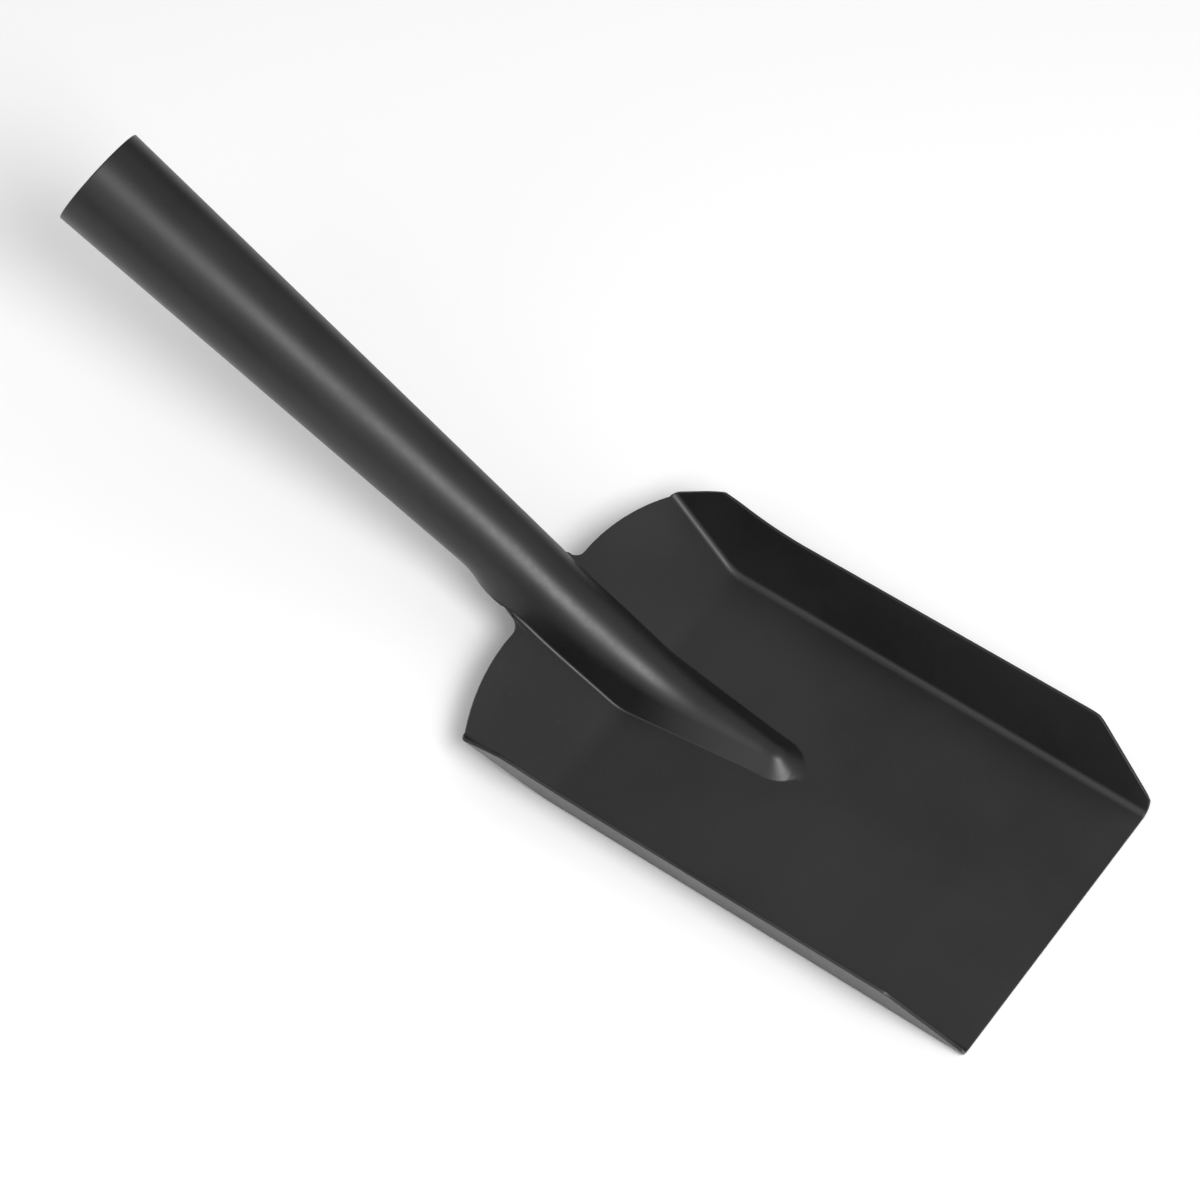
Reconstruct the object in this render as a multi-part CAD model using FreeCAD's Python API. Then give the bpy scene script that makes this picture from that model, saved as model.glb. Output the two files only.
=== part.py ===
import FreeCAD, Part
import math
import os

# One-handed scoop shovel, pressed and rolled from a single sheet of steel.
# Units are millimetres. +X points forward, out of the mouth; +Y is to the left; +Z is up.
# The origin is on the underside of the flat floor, midway between the crease and the mouth,
# on the plane of symmetry (Y = 0).

# ---------------------------------------------------------------- driving dimensions
sheet = 1.2                  # thickness of the steel

floor_length = 162.0         # crease to mouth edge
floor_width = 112.0          # over the outside of the floor, at the sharp bend lines
side_bend_radius = 3.0       # inside radius between the floor and a side wall
crease_radius = 16.0         # inside radius between the floor and the rear slope

rear_slope_angle = 27.0      # degrees above the floor
rear_edge_middle = 38.4      # crease to the rear edge beside the neck, seen from above
rear_edge_side = 30.0        # crease to the rear edge at the side walls, seen from above
rear_edge_overrun = 2.9      # outer end of each curve of the rear edge, past the floor's edge
rear_edge_radius = 88.0      # curve of each half of the rear edge

wall_flare = 20.4            # degrees that a side wall leans outward
wall_height_front = 24.7     # top edge, at the front corner
wall_height_waist = 23.3     # top edge, at its lowest point
wall_height_rear = 26.6      # top edge, at the rear corner
wall_waist_from_crease = 20.0
wall_rear_corner_from_crease = 12.5   # behind the crease
wall_sweep_middle = 0.3      # share of the rear corner's rise reached midway from the waist
wall_corner_radius = 15.0    # rounding of the rear corner
front_chamfer_length = 26.6  # mouth edge back to the front corner of the wall
front_chamfer_foot = 6.0     # height at which the slanting front edge of the wall starts

handle_angle = 23.0          # degrees above the floor
handle_length = 174.4        # from the neck to the open end, along the axis
handle_end_radius = 18.4     # outside
neck_radius = 13.2           # outside, where the tube closes
neck_from_crease = 62.0      # behind the crease, on the axis
neck_height = 33.4           # axis above the floor's underside, at the neck
seam_gap = 0.8               # between the rolled edges, under the handle

rib_end_radius = 7.4         # outside, at the centre of the rounded tip
rib_length = 54.9            # crease to the centre of the rounded tip
rib_axis_height = -0.6       # axis above the floor's underside, along the floor
rib_bend_radius = 100.0      # where the axis turns from the rear slope's line to the floor's
rib_crease_radius = 11.4     # outside, at the crease

web_half_width = 16.6        # flat web beside the neck
web_length = 45.0            # crease to the rear end of the web, seen from above
notch_radius = 4.0           # between the web and the rear edge

tack_count = 3
tack_length = 12.0
tack_radius = 1.3
tack_margin = 16.0           # handle end, or neck, to the nearest tack weld

# ---------------------------------------------------------------- derived places
crease_x = -floor_length / 2
mouth_x = floor_length / 2
slope = math.radians(rear_slope_angle)
flare = math.radians(wall_flare)
pitch = math.radians(handle_angle)
floor_half = floor_width / 2
spare = 40.0                 # how far the tools that shape the sheet run past it
tool_top = 2 * max(wall_height_front, wall_height_rear) + spare

handle_axis = FreeCAD.Vector(-math.cos(pitch), 0, math.sin(pitch))
slope_axis = FreeCAD.Vector(-math.cos(slope), 0, math.sin(slope))
under_handle = FreeCAD.Vector(-math.sin(pitch), 0, -math.cos(pitch))
neck_centre = FreeCAD.Vector(crease_x - neck_from_crease, 0, neck_height)
tip_centre = FreeCAD.Vector(crease_x + rib_length, 0, rib_axis_height)


def vec(x, y, z):
    return FreeCAD.Vector(x, y, z)


def prism_across(outline, half):
    """Solid of a side-view outline, from -half to +half in Y."""
    placed = outline.copy()
    placed.translate(vec(0, -half, 0))
    return Part.Face(placed).extrude(vec(0, 2 * half, 0))


def prism_upward(outline):
    """Solid of an outline seen from above, through the whole height of the shovel."""
    placed = outline.copy()
    placed.translate(vec(0, 0, -spare))
    return Part.Face(placed).extrude(vec(0, 0, 2 * spare + tool_top))


def slope_point(back, above=0.0):
    """Side-view point on the rear slope, `back` behind the crease and `above` its underside."""
    return vec(crease_x - back, 0, back * math.tan(slope) + above / math.cos(slope))


# ---------------------------------------------------------------- trough of the pan
def sheet_line(offset):
    """Side view of the sheet: floor, rounded crease and rear slope, `offset` above the underside."""
    radius = crease_radius + sheet - offset
    half_turn = slope / 2
    tangent = radius * math.tan(half_turn)
    corner_x = crease_x + offset * math.tan(half_turn)
    floor_end = vec(corner_x + tangent, 0, offset)
    slope_start = vec(corner_x - tangent * math.cos(slope), 0, offset + tangent * math.sin(slope))
    bend_centre = floor_end + vec(0, 0, radius)
    bend_middle = bend_centre - vec(math.sin(half_turn), 0, math.cos(half_turn)) * radius
    front = vec(mouth_x + spare, 0, offset)
    back = slope_point(neck_from_crease + spare, offset)
    return Part.Wire([
        Part.makeLine(front, floor_end),
        Part.Arc(floor_end, bend_middle, slope_start).toShape(),
        Part.makeLine(slope_start, back),
    ])


def trough(offset):
    """Space above the sheet surface that lies `offset` inside the outer surface of the pan."""
    line = sheet_line(offset)
    front = line.Vertexes[0].Point
    back = line.Vertexes[-1].Point
    top = tool_top + back.z
    lid = Part.makePolygon([back, vec(back.x, 0, top), vec(front.x, 0, top), front])
    blank = prism_across(Part.Wire(line.Edges + lid.Edges), 2 * floor_width)

    half = floor_half - offset / math.cos(flare)
    rise = top * math.tan(flare)
    section = Part.makePolygon([
        vec(back.x, half - rise, -top),
        vec(back.x, half + rise, top),
        vec(back.x, -half - rise, top),
        vec(back.x, rise - half, -top),
        vec(back.x, half - rise, -top),
    ])
    solid = blank.common(Part.Face(section).extrude(vec(front.x - back.x, 0, 0)))

    bends = []
    for edge in solid.Edges:
        middle = edge.valueAt(sum(edge.ParameterRange) / 2)
        shadow = Part.Vertex(vec(middle.x, 0, middle.z))
        if abs(middle.y) > side_bend_radius and shadow.distToShape(line)[0] < 1e-3:
            bends.append(edge)
    return solid.makeFillet(side_bend_radius + sheet - offset, bends)


# ---------------------------------------------------------------- cut edge of the sheet
def side_outline():
    """Side view of what is left of the sheet: wall tops, slanting fronts and rear corners."""
    waist_x = crease_x + wall_waist_from_crease
    corner = vec(crease_x - wall_rear_corner_from_crease, 0, wall_height_rear)
    front_top = vec(mouth_x - front_chamfer_length, 0, wall_height_front)
    waist = vec(waist_x, 0, wall_height_waist)
    rear_foot = slope_point(rear_edge_side, sheet)
    sweep_z = waist.z + (corner.z - waist.z) * wall_sweep_middle
    sweep_middle = vec((waist.x + corner.x) / 2, 0, sweep_z)

    down_the_edge = (rear_foot - corner).normalize()
    along_the_top = (sweep_middle - corner).normalize()
    half_corner = down_the_edge.getAngle(along_the_top) / 2
    tangent = wall_corner_radius / math.tan(half_corner)
    round_start = corner + along_the_top * tangent
    round_end = corner + down_the_edge * tangent
    bisector = (down_the_edge + along_the_top).normalize()
    round_depth = wall_corner_radius * (1 / math.sin(half_corner) - 1)
    round_middle = corner + bisector * round_depth

    over_slope = slope_point(web_length + spare, 2 * sheet)
    under_slope = slope_point(web_length + spare, -spare)
    return Part.Wire([
        Part.makeLine(vec(mouth_x, 0, -spare), vec(mouth_x, 0, front_chamfer_foot)),
        Part.makeLine(vec(mouth_x, 0, front_chamfer_foot), front_top),
        Part.makeLine(front_top, waist),
        Part.Arc(waist, sweep_middle, round_start).toShape(),
        Part.Arc(round_start, round_middle, round_end).toShape(),
        Part.makeLine(round_end, rear_foot),
        Part.makeLine(rear_foot, over_slope),
        Part.makeLine(over_slope, under_slope),
        Part.makeLine(under_slope, vec(under_slope.x, 0, -spare)),
        Part.makeLine(vec(under_slope.x, 0, -spare), vec(mouth_x, 0, -spare)),
    ])


def rear_half_outline(side):
    """Rear edge, notch and web from the side wall to the middle, seen from above, as edges."""
    outer = vec(crease_x - rear_edge_side, side * (floor_half + rear_edge_overrun), 0)
    inner = vec(crease_x - rear_edge_middle, side * (web_half_width + 2 * notch_radius), 0)
    chord = inner - outer
    bow = rear_edge_radius - math.sqrt(rear_edge_radius ** 2 - chord.Length ** 2 / 4)
    outward = vec(-abs(chord.y), side * abs(chord.x), 0).normalize()
    middle = (outer + inner) * 0.5 + outward * bow
    notch_centre = vec(inner.x - notch_radius, side * (web_half_width + notch_radius), 0)
    notch_start = vec(inner.x, notch_centre.y, 0)
    half_root = notch_radius * math.sqrt(0.5)
    notch_middle = notch_centre + vec(half_root, -side * half_root, 0)
    notch_end = vec(notch_centre.x, side * web_half_width, 0)
    web_end = vec(crease_x - web_length, side * neck_radius, 0)
    return [
        Part.Arc(outer, middle, inner).toShape(),
        Part.makeLine(inner, notch_start),
        Part.Arc(notch_start, notch_middle, notch_end).toShape(),
        Part.makeLine(notch_end, web_end),
    ]


def plan_outline():
    """Outline of the pan seen from above."""
    left = rear_half_outline(1)
    right = rear_half_outline(-1)
    left_start = left[0].Vertexes[0].Point
    right_start = right[0].Vertexes[0].Point
    wide = 2 * floor_width
    frame = Part.makePolygon([
        left_start,
        vec(left_start.x, wide, 0),
        vec(mouth_x + spare, wide, 0),
        vec(mouth_x + spare, -wide, 0),
        vec(right_start.x, -wide, 0),
        right_start,
    ])
    web_ends = Part.makeLine(left[-1].Vertexes[-1].Point, right[-1].Vertexes[-1].Point)
    edges = Part.sortEdges(left + right + [web_ends] + frame.Edges)[0]
    return Part.Wire(edges)


# ---------------------------------------------------------------- rib and rolled neck
def rib_radius(x):
    """Outside radius of the neck and rib at `x`: two tapers that meet at the crease."""
    if x < crease_x:
        share = (x - neck_centre.x) / (crease_x - neck_centre.x)
        return neck_radius + (rib_crease_radius - neck_radius) * share
    share = (x - crease_x) / rib_length
    return rib_crease_radius + (rib_end_radius - rib_crease_radius) * share


def taper(start, end, wall):
    """Straight tapered length of the neck or rib, between two centres."""
    along = end - start
    return Part.makeCone(rib_radius(start.x) - wall, rib_radius(end.x) - wall,
                         along.Length, start, along)


def rib_solid(wall):
    """Neck and rib as a solid, with its radius smaller by `wall`, ending in a round tip."""
    tangent = rib_bend_radius * math.tan(slope / 2)
    corner = neck_centre - slope_axis * ((neck_height - rib_axis_height) / math.sin(slope))
    bend_start = corner + slope_axis * tangent
    bend_end = corner + vec(tangent, 0, 0)
    bend_centre = bend_end + vec(0, 0, rib_bend_radius)
    bend_steps = 6
    rings = []
    for step in range(bend_steps + 1):
        angle = slope * (1 - step / bend_steps)
        centre = bend_centre - vec(math.sin(angle), 0, math.cos(angle)) * rib_bend_radius
        ring = Part.makeCircle(rib_radius(centre.x) - wall, vec(0, 0, 0), vec(1, 0, 0))
        ring.rotate(vec(0, 0, 0), vec(0, 1, 0), math.degrees(angle))
        ring.translate(centre)
        rings.append(Part.Wire(ring))
    bend = Part.makeLoft(rings, True, False)
    rear = taper(neck_centre + slope_axis * sheet, bend_start, wall)
    front = taper(bend_end, tip_centre, wall)
    tip = Part.makeSphere(rib_end_radius - wall, tip_centre)
    return bend.multiFuse([rear, front, tip])


def above_the_underside():
    """Space above the pan's underside, and above the line where the neck opens underneath."""
    line = sheet_line(0)
    front = line.Vertexes[0].Point
    web = slope_point(web_length)
    floor_edge = line.Edges[0]
    bend = line.Edges[1]
    slope_start = bend.Vertexes[-1].Point
    neck_bottom = neck_centre + under_handle * (neck_radius + sheet)
    behind = neck_bottom + handle_axis * spare
    top = tool_top + behind.z
    rest = Part.makePolygon([
        slope_start, web, neck_bottom, behind,
        vec(behind.x, 0, top), vec(front.x, 0, top), front,
    ])
    outline = Part.Wire([floor_edge, bend] + rest.Edges)
    return prism_across(outline, 2 * floor_width)


def make_pan():
    shell = trough(0).cut(trough(sheet))
    trimmed = shell.common(prism_across(side_outline(), 2 * floor_width))
    trimmed = trimmed.common(prism_upward(plan_outline()))
    rib = rib_solid(0).common(above_the_underside())
    behind_neck = Part.makeCylinder(2 * neck_radius, spare, neck_centre, handle_axis)
    return trimmed.fuse(rib).cut(rib_solid(sheet)).cut(behind_neck).removeSplitter()


# ---------------------------------------------------------------- handle
def make_handle():
    """Rolled, tapered tube, open at its end, with its narrow seam underneath."""
    outside = Part.makeCone(neck_radius, handle_end_radius, handle_length, neck_centre, handle_axis)
    bore = Part.makeCone(neck_radius - sheet, handle_end_radius - sheet, handle_length,
                         neck_centre, handle_axis)
    seam = Part.makeBox(handle_length, seam_gap, 2 * handle_end_radius, vec(0, -seam_gap / 2, 0))
    seam.rotate(vec(0, 0, 0), vec(0, 1, 0), 180 + math.degrees(pitch))
    seam.translate(neck_centre)
    return outside.cut(bore).cut(seam)


def handle_underside(along):
    """Point on the outside of the handle's underside, `along` the axis from the neck."""
    radius = neck_radius + (handle_end_radius - neck_radius) * along / handle_length
    return neck_centre + handle_axis * along + under_handle * radius


def make_seam_tack_welds(handle):
    """Short beads in the seam, evenly spaced from the neck to the open end."""
    beads = []
    first = tack_margin + tack_length / 2
    pitch_between = (handle_length - 2 * first) / (tack_count - 1)
    for number in range(tack_count):
        middle = first + number * pitch_between
        start = handle_underside(middle - tack_length / 2)
        end = handle_underside(middle + tack_length / 2)
        bar = Part.makeCylinder(tack_radius, (end - start).Length, start, end - start)
        ends = [Part.makeSphere(tack_radius, start), Part.makeSphere(tack_radius, end)]
        beads.append(bar.multiFuse(ends).removeSplitter().cut(handle))
    return Part.makeCompound(beads)


# ---------------------------------------------------------------- files
os.makedirs("parts", exist_ok=True)
handle = make_handle()
nodes = {
    "pan": make_pan(),
    "handle": handle,
    "seam_tack_welds": make_seam_tack_welds(handle),
}
for name, shape in nodes.items():
    shape.exportStep("parts/" + name + ".step")
    print(name, len(shape.Solids), shape.isValid(), round(shape.Volume, 1))
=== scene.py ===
"""One-handed scoop shovel: a single pressed and rolled steel sheet, satin black, on a pale studio floor."""
import logging
import math
from dataclasses import dataclass, field
from enum import Enum
from typing import Any, Callable, Sequence

import bpy
import numpy as np
from mathutils import Matrix, Vector


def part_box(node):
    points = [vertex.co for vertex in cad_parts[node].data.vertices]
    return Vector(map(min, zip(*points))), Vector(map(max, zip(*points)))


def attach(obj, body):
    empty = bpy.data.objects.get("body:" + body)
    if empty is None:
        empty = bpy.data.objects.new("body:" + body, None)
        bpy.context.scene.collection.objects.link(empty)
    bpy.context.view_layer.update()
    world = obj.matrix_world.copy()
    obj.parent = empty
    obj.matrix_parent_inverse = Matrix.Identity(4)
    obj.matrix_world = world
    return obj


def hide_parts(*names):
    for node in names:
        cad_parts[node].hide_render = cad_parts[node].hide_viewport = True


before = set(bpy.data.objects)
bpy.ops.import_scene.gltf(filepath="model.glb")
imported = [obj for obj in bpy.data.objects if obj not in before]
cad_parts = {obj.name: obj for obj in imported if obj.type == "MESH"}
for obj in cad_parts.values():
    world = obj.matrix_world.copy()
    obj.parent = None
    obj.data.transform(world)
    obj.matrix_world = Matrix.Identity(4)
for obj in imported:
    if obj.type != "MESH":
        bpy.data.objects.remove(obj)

LOG = logging.getLogger("scoop_shovel")
MM = 0.001
ROOT = "root"
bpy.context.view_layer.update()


# ------------------------------------------------------------------ small geometry helpers
def smoothstep(value: np.ndarray | float, low: float, high: float) -> Any:
    """Ease from 0 at `low` to 1 at `high`."""
    share = np.clip((np.asarray(value, float) - low) / (high - low), 0.0, 1.0)
    return share * share * (3.0 - 2.0 * share)


def unit(vectors: np.ndarray) -> np.ndarray:
    """Scale each row of `vectors` to length one."""
    length = np.linalg.norm(vectors, axis=-1, keepdims=True)
    return vectors / np.maximum(length, 1e-12)


def spaced(*runs: tuple[float, float, int]) -> np.ndarray:
    """Values along several runs that follow each other.

    Args:
        runs: start, end and number of steps of each run.

    Returns:
        The values in order, with shared ends given once.
    """
    values = [runs[0][0]]
    for start, end, steps in runs:
        values.extend(np.linspace(start, end, steps + 1)[1:])
    return np.array(values)


# ------------------------------------------------------------------ sizes of the sheet
@dataclass(frozen=True)
class ShovelSizes:
    """Sizes of the shovel, in metres and radians, as the CAD model has them."""

    sheet: float = 1.2 * MM
    floor_length: float = 162.0 * MM
    floor_width: float = 112.0 * MM
    side_bend_radius: float = 3.0 * MM
    crease_radius: float = 16.0 * MM
    rear_slope: float = math.radians(27.0)
    rear_edge_middle: float = 38.4 * MM
    rear_edge_side: float = 30.0 * MM
    rear_edge_overrun: float = 2.9 * MM
    rear_edge_radius: float = 88.0 * MM
    wall_flare: float = math.radians(20.4)
    wall_front: float = 24.7 * MM
    wall_waist: float = 23.3 * MM
    wall_rear: float = 26.6 * MM
    waist_from_crease: float = 20.0 * MM
    rear_corner_from_crease: float = 12.5 * MM
    chamfer_length: float = 26.6 * MM
    chamfer_foot: float = 6.0 * MM
    handle_pitch: float = math.radians(23.0)
    handle_length: float = 174.4 * MM
    handle_end_radius: float = 18.4 * MM
    neck_radius: float = 13.2 * MM
    neck_from_crease: float = 62.0 * MM
    neck_height: float = 33.4 * MM
    seam_gap: float = 0.8 * MM
    web_half_width: float = 16.6 * MM
    notch_radius: float = 4.0 * MM


@dataclass(frozen=True)
class RibSizes:
    """Sizes of the raised rib: a round crest between straight flanks, with a hipped tip.

    The flange is the narrow lip that the sheet keeps beside the neck, where it starts to roll. The tip's
    point and bluntness and the flange's end and taper are plain numbers.
    """

    bend_radius: float = 100.0 * MM
    rear_rise: float = 1.0 * MM
    front_rise: float = -0.7 * MM
    notch_width: float = 14.4 * MM
    crease_width: float = 14.1 * MM
    tip_width: float = 8.3 * MM
    length: float = 51.0 * MM
    tip_point: float = 0.735
    tip_bluntness: float = 0.13
    rear_crest: float = 12.4 * MM
    crease_crest: float = 10.9 * MM
    front_crest: float = 8.7 * MM
    tip_crest: float = 5.4 * MM
    rear_from_crease: float = 16.0 * MM
    front_from_crease: float = 24.0 * MM
    rear_foot: float = 1.8 * MM
    front_foot: float = 1.3 * MM
    tip_foot: float = 1.8 * MM
    side_shift: float = 1.4 * MM
    notch_pull: float = 0.8 * MM
    flange: float = 2.2 * MM
    flange_angle: float = math.radians(97.0)
    flange_curl: float = math.radians(50.0)
    flange_end: float = 0.8
    flange_taper: float = 1.5


@dataclass(frozen=True)
class BlendSizes:
    """Lengths over which one stretch of the sheet eases into the next.

    `closing_power` shapes how the seam closes, and `shift_reach` is a multiple of the web's half width.
    """

    lean_by_crease: float = 25.0 * MM
    lean_by_neck: float = 6.0 * MM
    rib_lines: float = 5.0 * MM
    foot_behind_crease: float = 6.0 * MM
    foot_past_crease: float = 8.0 * MM
    foot_before_tip: float = 12.0 * MM
    web_behind_notch: float = 3.0 * MM
    web_past_notch: float = 2.0 * MM
    hips_past_tip: float = 12.0 * MM
    hips_gone: float = 37.0 * MM
    seam_closing: float = 26.6 * MM
    closing_power: float = 1.35
    columns_behind_notch: float = 30.0 * MM
    axis_corner: float = 0.2 * MM
    rolled_behind_notch: float = 8.0 * MM
    pressed_past_notch: float = 6.0 * MM
    shift_behind_crease: float = 34.0 * MM
    shift_past_crease: float = 4.0 * MM
    shift_reach: float = 2.4


# ------------------------------------------------------------------ the pressed and rolled sheet
@dataclass(frozen=True)
class Bend:
    """Side view of two straight lines joined by an arc, as height against X."""

    corner_x: float
    level: float
    angle: float
    radius: float

    def height(self, x: np.ndarray) -> np.ndarray:
        """Height of the line, which is level in front of the bend and climbs behind it.

        Args:
            x: X of each point.

        Returns:
            Height at each X.
        """
        tangent = self.radius * math.tan(self.angle / 2)
        arc_end = self.corner_x + tangent
        arc_start = self.corner_x - tangent * math.cos(self.angle)
        climb = self.level + (self.corner_x - x) * math.tan(self.angle)
        inside = np.maximum(self.radius ** 2 - np.minimum(x - arc_end, 0.0) ** 2, 0.0)
        arc = self.level + self.radius - np.sqrt(inside)
        return np.where(x >= arc_end, self.level, np.where(x <= arc_start, climb, arc))


@dataclass(frozen=True)
class CornerRound:
    """A corner of a wall's outline, drawn in a little so that it comes out rounded."""

    x: float
    z: float
    reach: float
    pull: float
    toward: tuple[float, float]

    def draw_in(self, x: np.ndarray, z: np.ndarray) -> tuple[np.ndarray, np.ndarray]:
        """Move the points near the corner towards the wall's middle.

        Args:
            x: X of each point.
            z: Z of each point.

        Returns:
            The points' new X and Z.
        """
        gap = np.sqrt((x - self.x) ** 2 + (z - self.z) ** 2)
        draw = self.pull * np.clip(1 - gap / self.reach, 0, 1) ** 2
        return x + draw * self.toward[0], z + draw * self.toward[1]


class SheetShape:
    """Middle surface of the sheet: where each point of the flat blank ends up after forming."""

    SETTLE_ROUNDS: int = 12
    RIM_SHARE: float = 0.96
    SEAM_SHARE: float = 0.97
    SWEEP_LIMIT: float = 1.5
    NOTCH_POINTS: int = 9
    FLOOR_STEPS: tuple[int, int] = (18, 2)
    BEND_STEPS: int = 10
    WALL_STEPS: tuple[int, int] = (10, 1)
    SMOOTHING_POINTS: int = 11

    def __init__(self, sizes: ShovelSizes, rib: RibSizes, ease: BlendSizes, mouth_x: float) -> None:
        """Work out the lines that the surface follows.

        Args:
            sizes: the shovel's sizes.
            rib: the rib's sizes.
            ease: lengths of the blends between stretches.
            mouth_x: X of the mouth edge in the frame.
        """
        self.sizes = sizes
        self.rib = rib
        self.ease = ease
        self.mouth_x = mouth_x
        self.crease_x = mouth_x - sizes.floor_length
        half = sizes.sheet / 2
        corner = self.crease_x + half * math.tan(sizes.rear_slope / 2)
        self.base = Bend(corner, half, sizes.rear_slope, sizes.crease_radius + half)
        drop = (rib.rear_rise / math.cos(sizes.rear_slope) - rib.front_rise) / math.tan(sizes.rear_slope)
        self.axis = Bend(corner + drop, half + rib.front_rise, sizes.rear_slope, rib.bend_radius)
        self.tip_x = self.crease_x + rib.length
        self.neck_x = self.crease_x - sizes.neck_from_crease
        self.end_x = self.neck_x - sizes.handle_length * math.cos(sizes.handle_pitch)
        self.notch_x = self.crease_x - sizes.rear_edge_middle - sizes.notch_radius
        self.bend_radius = sizes.side_bend_radius + half
        self.bend_angle = math.pi / 2 - sizes.wall_flare

    # ---- rib, neck and handle
    def section_tilt(self, x: np.ndarray) -> np.ndarray:
        """How far each section across the middle strip leans back from upright.

        Args:
            x: X of each section.

        Returns:
            Angle of each section.
        """
        crease_reach, neck_reach = self.ease.lean_by_crease, self.ease.lean_by_neck
        steep = 1 - smoothstep(x, self.crease_x - crease_reach, self.crease_x + crease_reach)
        joined = smoothstep(x, self.neck_x - neck_reach, self.neck_x + neck_reach)
        pitch = self.sizes.handle_pitch
        return (pitch + (self.sizes.rear_slope - pitch) * joined) * steep

    def rib_lines(self, x: np.ndarray) -> tuple[np.ndarray, np.ndarray, np.ndarray, np.ndarray]:
        """Lines that the rib's sections follow.

        Args:
            x: X of each section.

        Returns:
            Rise of the crest's centre, crest radius, foot half width and foot radius at each X.
        """
        rib, ease, crease = self.rib, self.ease, self.crease_x
        rise = (self.axis.height(x) - self.base.height(x)) * np.cos(self.section_tilt(x))
        near = np.linspace(-ease.rib_lines, ease.rib_lines, self.SMOOTHING_POINTS)
        stops = [self.notch_x, crease - rib.rear_from_crease, crease,
                 crease + rib.front_from_crease, self.tip_x]
        radii = [rib.rear_crest, rib.rear_crest, rib.crease_crest, rib.front_crest, rib.tip_crest]
        crest = np.mean([np.interp(x + step, stops, radii) for step in near], axis=0)
        stops = [self.notch_x, crease, self.tip_x]
        widths = [rib.notch_width, rib.crease_width, rib.tip_width]
        width = np.mean([np.interp(x + step, stops, widths) for step in near], axis=0)
        stops = [crease - ease.foot_behind_crease, crease + ease.foot_past_crease,
                 self.tip_x - ease.foot_before_tip, self.tip_x]
        foot = np.interp(x, stops, [rib.rear_foot, rib.front_foot, rib.front_foot, rib.tip_foot])
        return rise, crest, width, foot

    def rib_section(self, x: np.ndarray, steps: Sequence[int]) -> np.ndarray:
        """Points across half of the rib and the flat beside it.

        Args:
            x: X of each row.
            steps: number of steps over the crest, the flank, its foot and the flat.

        Returns:
            Array of rows by columns by 3.
        """
        rib, ease, notch = self.rib, self.ease, self.notch_x
        along = np.minimum(x, self.tip_x)
        ahead = np.maximum(x - self.tip_x, 0.0)
        rise, crest, width, foot = (line[:, None] for line in self.rib_lines(along))
        reach = np.hypot(width, rise)
        slant = np.arctan2(rise, width) + np.arcsin(np.minimum(crest / reach, 0.999))
        crest_end = crest * np.sin(slant)
        foot_in = width - foot * np.tan(slant / 2) * np.cos(slant)
        foot_out = width + foot * np.tan(slant / 2)
        widening = smoothstep(x, notch - ease.web_behind_notch, notch + ease.web_past_notch)[:, None]
        web = self.sizes.web_half_width - (1 - widening) * rib.notch_pull
        shares = [np.linspace(0, 1, count + 1)[1:][None, :] for count in steps]
        y = np.concatenate([
            np.zeros_like(width),
            crest * np.sin(slant * shares[0]),
            crest_end + (foot_in - crest_end) * shares[1],
            foot_out - foot * np.sin(slant * (1 - shares[2])),
            foot_out + (web - foot_out) * shares[3],
        ], axis=1)
        closing = 1 - (ahead * rib.tip_point / foot_out[:, 0]) ** 2
        pinch = np.sqrt(np.maximum(closing, rib.tip_bluntness))
        pinch = 1 - (1 - pinch) * (1 - smoothstep(ahead, ease.hips_past_tip, ease.hips_gone))
        inside = y <= foot_out + 1e-9
        outside = (y - foot_out) / (web - foot_out)
        edge = foot_out * pinch[:, None]
        y = np.where(inside, y * pinch[:, None], edge + outside * (web - edge))

        away = np.hypot(y, ahead[:, None] * rib.tip_point)
        on_crest = rise + np.sqrt(np.maximum(crest ** 2 - away ** 2, 0.0))
        on_flank = (width - away) * np.tan(slant)
        on_foot = foot - np.sqrt(np.maximum(foot ** 2 - (foot_out - away) ** 2, 0.0))
        level = np.where(away < crest_end, on_crest, np.where(away < foot_in, on_flank, on_foot))
        level = np.where(away > foot_out, 0.0, level)
        tilt = self.section_tilt(x)[:, None]
        base = self.base.height(x)[:, None]
        return np.stack([x[:, None] + level * np.sin(tilt), y, base + level * np.cos(tilt)], axis=-1)

    def rolled_section(self, x: np.ndarray, steps: Sequence[int]) -> np.ndarray:
        """Points across half of the neck or handle, in planes square to the handle's axis.

        Args:
            x: X of each row.
            steps: as for rib_section, so that both have as many columns.

        Returns:
            Array of rows by columns by 3.
        """
        size, rib, ease = self.sizes, self.rib, self.ease
        back = np.clip((self.neck_x - x) / (self.neck_x - self.end_x), 0.0, 1.0)
        radius = size.neck_radius + (size.handle_end_radius - size.neck_radius) * back - size.sheet / 2
        closing = np.clip((self.notch_x - x) / ease.seam_closing, 0.0, 1.0)
        closed = math.pi - size.seam_gap / 2 / radius
        edge_angle = rib.flange_angle + (closed - rib.flange_angle) * closing ** ease.closing_power
        flare = rib.flange * np.clip(1 - (closing / rib.flange_end) ** 2, 0.0, 1.0) ** rib.flange_taper
        even = spaced((0.0, self.SEAM_SHARE, sum(steps) - 1), (self.SEAM_SHARE, 1.0, 1))
        fit = 1 - smoothstep(self.notch_x - x, 0.0, ease.columns_behind_notch)[:, None]
        angle = edge_angle[:, None] * (even * (1 - fit) + self.notch_shares(steps) * fit)
        curl = np.clip((angle - edge_angle[:, None] + rib.flange_curl) / rib.flange_curl, 0.0, 1.0)
        distance = radius[:, None] + flare[:, None] * curl ** 2
        rise = distance * np.cos(angle)
        handle_line = size.neck_height + (self.neck_x - x) * math.tan(size.handle_pitch)
        slope_line = self.axis.height(x)
        axis_z = (handle_line + slope_line - np.hypot(handle_line - slope_line, ease.axis_corner)) / 2
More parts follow.
